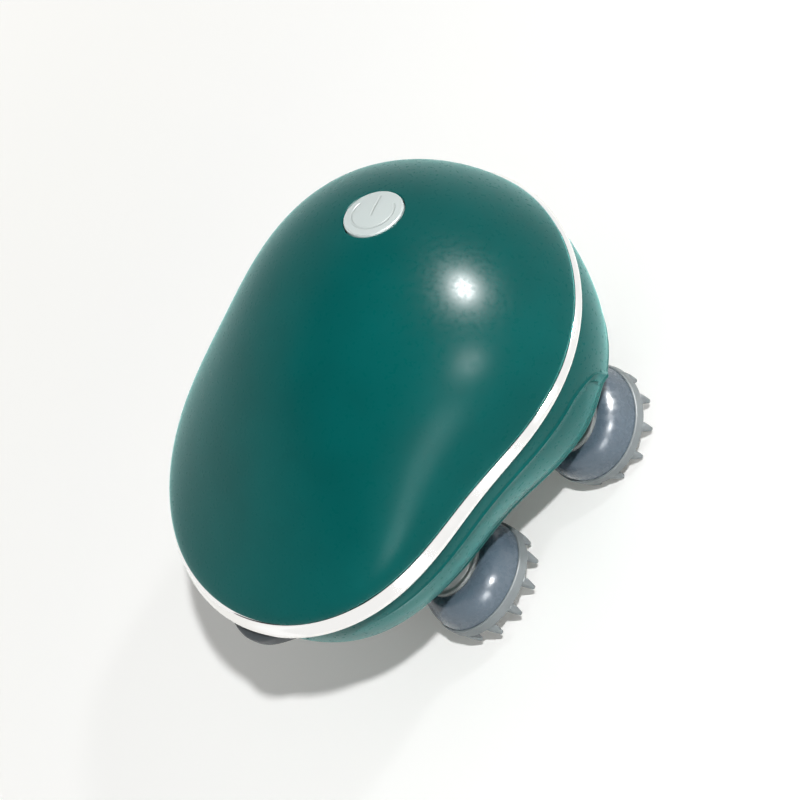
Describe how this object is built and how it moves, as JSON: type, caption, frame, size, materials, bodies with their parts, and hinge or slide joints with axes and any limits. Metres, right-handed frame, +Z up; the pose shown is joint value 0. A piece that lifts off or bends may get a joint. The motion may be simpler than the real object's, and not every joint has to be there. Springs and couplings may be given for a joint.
{
  "type": "electric scalp massager",
  "caption": "Hand-held electric scalp massager: peanut-shaped domed casing with a bright trim band, a push button on top and leaning pronged heads underneath.",
  "frame": {"origin": "middle of the footprint, on the floor that the prong tips stand on", "axes": "+Z up through the dome, +X to the nose end with the push button, +Y to the left side"},
  "size_m": [0.1213, 0.0952, 0.0882],
  "materials": {
    "casing_green": "satin deep teal green",
    "trim_chrome": "polished bright",
    "button_grey": "satin light grey",
    "dark_rubber": "matt dark grey",
    "cup_slate": "glossy dark slate",
    "pad_silicone": "soft matt grey silicone",
    "hub_grey": "satin pale grey",
    "white_acetal": "natural moulded",
    "bronze": "sintered bronze",
    "steel": "plain bright",
    "board_green": "laminate",
    "switch_black": "matt black",
    "battery_wrap": "shrink wrapped"
  },
  "bodies": {
    "casing": {"arbor_bushes": "bronze", "base_cover": "casing_green", "battery": "battery_wrap", "battery_cradle": "white_acetal", "button_boot": "dark_rubber", "casing_screws": "steel", "casing_seal": "dark_rubber", "charging_board": "board_green", "charging_socket": "steel", "control_board": "board_green", "drive_motor": "steel", "gear_cover": "white_acetal", "gearbox_plate": "white_acetal", "gearbox_screws": "steel", "lower_shell": "casing_green", "motor_clamp": "steel", "shaft_bushes": "bronze", "shaft_seals": "dark_rubber", "tact_switch": "switch_black", "top_shell": "casing_green", "trim_ring": "trim_chrome"},
    "worm_drive": {"motor_shaft": "steel", "worm": "bronze"},
    "wheel_left": {"worm_wheel_left": "white_acetal", "pinion_left": "white_acetal", "arbor_left": "steel"},
    "wheel_right": {"worm_wheel_right": "white_acetal", "pinion_right": "white_acetal", "arbor_right": "steel"},
    "button": {"power_button": "button_grey"},
    "flap": {"port_flap": "dark_rubber"},
    "head_front_left": {"output_gear_front_left": "white_acetal", "output_shaft_front_left": "steel", "head_hub_front_left": "hub_grey", "head_cup_front_left": "cup_slate", "head_pad_front_left": "pad_silicone"},
    "head_front_right": {"output_gear_front_right": "white_acetal", "output_shaft_front_right": "steel", "head_hub_front_right": "hub_grey", "head_cup_front_right": "cup_slate", "head_pad_front_right": "pad_silicone"},
    "head_rear_left": {"output_gear_rear_left": "white_acetal", "output_shaft_rear_left": "steel", "head_hub_rear_left": "hub_grey", "head_cup_rear_left": "cup_slate", "head_pad_rear_left": "pad_silicone"},
    "head_rear_right": {"output_gear_rear_right": "white_acetal", "output_shaft_rear_right": "steel", "head_hub_rear_right": "hub_grey", "head_cup_rear_right": "cup_slate", "head_pad_rear_right": "pad_silicone"}
  },
  "joints": [
    {"name": "front_left_spin", "type": "hinge", "parent": "casing", "child": "head_front_left", "pos_m": [0.023, 0.0206, 0.0414], "axis": [0, 0, 1], "continuous": true},
    {"name": "front_right_spin", "type": "hinge", "parent": "casing", "child": "head_front_right", "pos_m": [0.023, -0.0206, 0.0414], "axis": [0, 0, 1], "continuous": true},
    {"name": "rear_left_spin", "type": "hinge", "parent": "casing", "child": "head_rear_left", "pos_m": [-0.023, 0.0206, 0.0414], "axis": [0, 0, 1], "continuous": true},
    {"name": "rear_right_spin", "type": "hinge", "parent": "casing", "child": "head_rear_right", "pos_m": [-0.023, -0.0206, 0.0414], "axis": [0, 0, 1], "continuous": true},
    {"name": "wheel_left_spin", "type": "hinge", "parent": "casing", "child": "wheel_left", "pos_m": [0, 0.0141, 0.0509], "axis": [0, 0, 1], "continuous": true},
    {"name": "wheel_right_spin", "type": "hinge", "parent": "casing", "child": "wheel_right", "pos_m": [0, -0.0141, 0.0509], "axis": [0, 0, 1], "continuous": true},
    {"name": "worm_spin", "type": "hinge", "parent": "casing", "child": "worm_drive", "pos_m": [0, 0, 0.0509], "axis": [1, 0, 0], "continuous": true},
    {"name": "button_press", "type": "slide", "parent": "casing", "child": "button", "axis": [-0.4441, 0, -0.896], "range_m": [0, 0.0007], "stiffness_N_per_m": 1500, "springref_m": -0.0006},
    {"name": "flap_hinge", "type": "hinge", "parent": "casing", "child": "flap", "pos_m": [-0.05725, -0.0155, 0.05145], "axis": [0.2871, -0.9579, 0], "range_deg": [0, 90]}
  ],
  "couplings": [
    {"joint": "rear_left_spin", "follows": "front_left_spin", "ratio": 1},
    {"joint": "front_right_spin", "follows": "front_left_spin", "ratio": -1},
    {"joint": "rear_right_spin", "follows": "front_left_spin", "ratio": -1},
    {"joint": "wheel_left_spin", "follows": "front_left_spin", "ratio": -1.6667},
    {"joint": "wheel_right_spin", "follows": "front_left_spin", "ratio": 1.6667},
    {"joint": "worm_spin", "follows": "front_left_spin", "ratio": 43.333}
  ]
}
